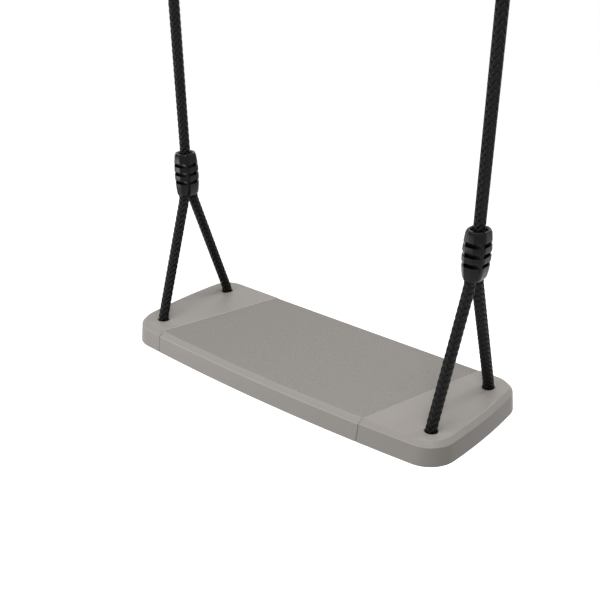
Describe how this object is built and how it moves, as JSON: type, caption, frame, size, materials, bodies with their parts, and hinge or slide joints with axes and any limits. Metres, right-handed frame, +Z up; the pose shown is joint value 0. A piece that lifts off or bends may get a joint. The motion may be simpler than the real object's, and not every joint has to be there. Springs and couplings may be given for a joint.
{
  "type": "rope swing with board seat",
  "caption": "Moulded board swing seat with a dark grained middle and pale end caps, hung on two rope bridles from clamps, thimbles, shackles and eye plates.",
  "frame": {"origin": "midpoint between the two eye plates, on their top faces, where they meet the underside of the beam", "axes": "+X along the beam and the seat, +Y to the seat's rear, +Z up"},
  "size_m": [0.454, 0.17, 0.5259],
  "materials": {
    "cap_plastic": "satin warm grey moulded polypropylene, smooth",
    "panel_plastic": "matt warm grey moulded polypropylene with a fine anti-slip grain on top",
    "core_plastic": "matt grey moulded polypropylene, ribbed underneath",
    "clamp_plastic": "satin black moulded nylon",
    "thimble_nylon": "black turned nylon",
    "rope": "black round-braided polypropylene rope",
    "stopper_alloy": "swaged aluminium cup",
    "zinc_steel": "bright zinc-plated steel",
    "screw_steel": "zinc-plated steel"
  },
  "bodies": {
    "hangers": {"left_eye_plate": "zinc_steel", "right_eye_plate": "zinc_steel"},
    "left_link": {"left_shackle": "zinc_steel", "left_shackle_pin": "zinc_steel", "left_shackle_nut": "zinc_steel"},
    "left_line": {"left_thimble": "thimble_nylon", "left_loop_clamp": "clamp_plastic", "left_upper_rope": "rope"},
    "left_stopper": {"left_rope_stopper": "stopper_alloy"},
    "seat": {"seat_core": "core_plastic", "centre_panel": "panel_plastic", "left_end_cap": "cap_plastic", "right_end_cap": "cap_plastic", "centre_panel_screws": "screw_steel", "end_cap_screws": "screw_steel", "left_bridle_clamp": "clamp_plastic", "right_bridle_clamp": "clamp_plastic", "left_bridle_rope": "rope", "right_bridle_rope": "rope"},
    "right_link": {"right_shackle": "zinc_steel", "right_shackle_pin": "zinc_steel", "right_shackle_nut": "zinc_steel"},
    "right_line": {"right_thimble": "thimble_nylon", "right_loop_clamp": "clamp_plastic", "right_upper_rope": "rope"},
    "right_stopper": {"right_rope_stopper": "stopper_alloy"}
  },
  "joints": [
    {"name": "left_swing", "type": "hinge", "parent": "hangers", "child": "left_link", "pos_m": [-0.185, 0, -0.025], "axis": [1, 0, 0], "range_deg": [-60, 60]},
    {"name": "left_sway", "type": "hinge", "parent": "left_link", "child": "left_line", "pos_m": [-0.185, 0, -0.054], "axis": [0, 1, 0], "range_deg": [-10, 10]},
    {"name": "left_level", "type": "hinge", "parent": "left_line", "child": "left_stopper", "pos_m": [-0.185, 0, -0.325], "axis": [0, 1, 0], "range_deg": [-10, 10]},
    {"name": "seat_pitch", "type": "hinge", "parent": "left_stopper", "child": "seat", "pos_m": [-0.185, 0, -0.325], "axis": [1, 0, 0], "range_deg": [-10, 10]},
    {"name": "right_swing", "type": "hinge", "parent": "hangers", "child": "right_link", "pos_m": [0.185, 0, -0.025], "axis": [1, 0, 0], "range_deg": [-60, 60]},
    {"name": "right_sway", "type": "hinge", "parent": "right_link", "child": "right_line", "pos_m": [0.185, 0, -0.054], "axis": [0, 1, 0], "range_deg": [-10, 10]},
    {"name": "right_level", "type": "hinge", "parent": "right_line", "child": "right_stopper", "pos_m": [0.185, 0, -0.325], "axis": [0, 1, 0], "range_deg": [-10, 10]}
  ],
  "couplings": [
    {"joint": "right_swing", "follows": "left_swing", "ratio": 1},
    {"joint": "left_level", "follows": "left_sway", "ratio": -1},
    {"joint": "right_sway", "follows": "left_sway", "ratio": 1},
    {"joint": "right_level", "follows": "left_sway", "ratio": -1}
  ]
}
